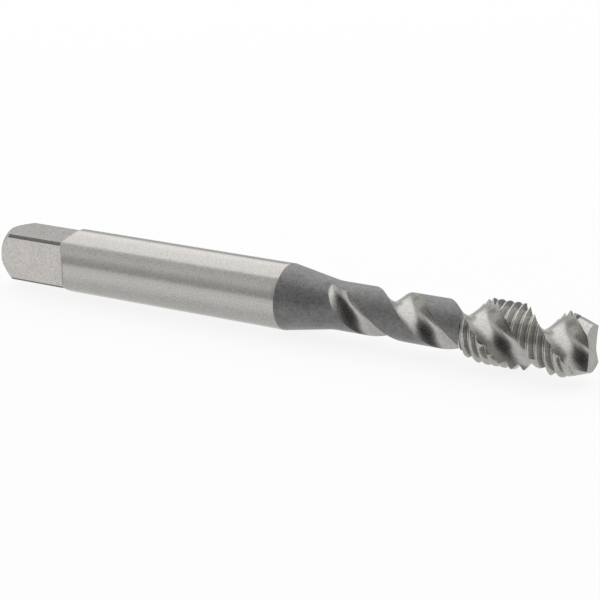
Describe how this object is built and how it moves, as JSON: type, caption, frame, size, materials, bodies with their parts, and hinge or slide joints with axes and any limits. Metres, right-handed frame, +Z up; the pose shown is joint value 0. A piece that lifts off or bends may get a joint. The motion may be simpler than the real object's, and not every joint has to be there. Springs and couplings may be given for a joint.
{
  "type": "thread tap",
  "caption": "Machine tap with right-hand fast-spiral flutes, reduced neck, ground cylindrical shank and square drive end.",
  "frame": {"origin": "centre of the flat face at the drive end, on the tap's axis", "axes": "+X along the tap from the drive end to the cutting tip, +Z up with the tap lying on its side; the flats of the drive square face +Y, -Y, +Z and -Z"},
  "size_m": [0.0637, 0.0064, 0.0064],
  "materials": {
    "steel": "ground bright, with a dark grey satin cone and neck"
  },
  "bodies": {
    "root": {"tap": "steel"}
  },
  "joints": []
}
